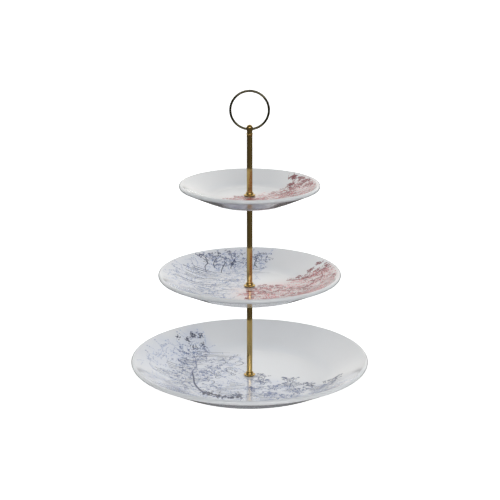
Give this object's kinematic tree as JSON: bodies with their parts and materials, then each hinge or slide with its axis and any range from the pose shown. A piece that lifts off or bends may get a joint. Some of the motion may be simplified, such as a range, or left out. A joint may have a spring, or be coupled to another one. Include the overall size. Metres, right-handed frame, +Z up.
{
  "type": "three-tier cake stand",
  "caption": "Tiered cake stand: dished porcelain plates on a polished gold rod that unscrews between tiers, with a domed finial and a tilting ring handle.",
  "frame": {"origin": "on the table under the middle of the bottom plate, on the axis of the rods", "axes": "+Z up along the rods; -Y is the front, which the ring handle faces; +X is to the right of someone who looks at the front"},
  "size_m": [0.27, 0.27, 0.3413],
  "materials": {
    "porcelain": "glossy white glaze with a printed floral pattern",
    "gold": "polished gold plating",
    "steel": "plain zinc-coloured steel",
    "soft_pad": "matt dark brown-black rubber"
  },
  "bodies": {
    "base": {"bottom_plate": "porcelain", "bottom_pad_above": "soft_pad"},
    "lower_post": {"lower_rod": "gold", "lower_collar": "gold", "bottom_screw": "steel", "bottom_flat_washer": "steel", "bottom_pad_below": "soft_pad", "middle_flat_washer": "steel", "middle_pad_below": "soft_pad"},
    "middle_tray": {"middle_plate": "porcelain", "middle_pad_above": "soft_pad"},
    "middle_bell": {"middle_collar": "gold"},
    "middle_post": {"middle_rod": "gold", "top_flat_washer": "steel", "top_pad_below": "soft_pad"},
    "top_tray": {"top_plate": "porcelain", "top_pad_above": "soft_pad"},
    "upper_bell": {"upper_collar": "gold"},
    "handle_post": {"upper_rod": "gold", "finial": "gold"},
    "ring": {"ring_handle": "gold"}
  },
  "joints": [
    {"name": "post_turn", "type": "hinge", "parent": "base", "child": "lower_post", "pos_m": [0, 0, 0.0109], "axis": [0, 0, 1], "continuous": true},
    {"name": "middle_plate_turn", "type": "hinge", "parent": "lower_post", "child": "middle_tray", "pos_m": [0, 0, 0.11805], "axis": [0, 0, 1], "continuous": true},
    {"name": "middle_rod_turn", "type": "hinge", "parent": "lower_post", "child": "middle_bell", "pos_m": [0, 0, 0.11885], "axis": [0, 0, 1], "range_deg": [0, 3600]},
    {"name": "middle_rod_rise", "type": "slide", "parent": "middle_bell", "child": "middle_post", "axis": [0, 0, 1], "range_m": [0, 0.007]},
    {"name": "top_plate_turn", "type": "hinge", "parent": "middle_post", "child": "top_tray", "pos_m": [0, 0, 0.223], "axis": [0, 0, 1], "continuous": true},
    {"name": "upper_rod_turn", "type": "hinge", "parent": "middle_post", "child": "upper_bell", "pos_m": [0, 0, 0.2238], "axis": [0, 0, 1], "range_deg": [0, 3600]},
    {"name": "upper_rod_rise", "type": "slide", "parent": "upper_bell", "child": "handle_post", "axis": [0, 0, 1], "range_m": [0, 0.007]},
    {"name": "ring_tilt", "type": "hinge", "parent": "handle_post", "child": "ring", "pos_m": [0, 0, 0.29815], "axis": [1, 0, 0], "range_deg": [-173, 173]}
  ],
  "couplings": [
    {"joint": "middle_rod_turn", "follows": "middle_rod_rise", "rad_per_m": 8976},
    {"joint": "upper_rod_turn", "follows": "upper_rod_rise", "rad_per_m": 8976}
  ]
}
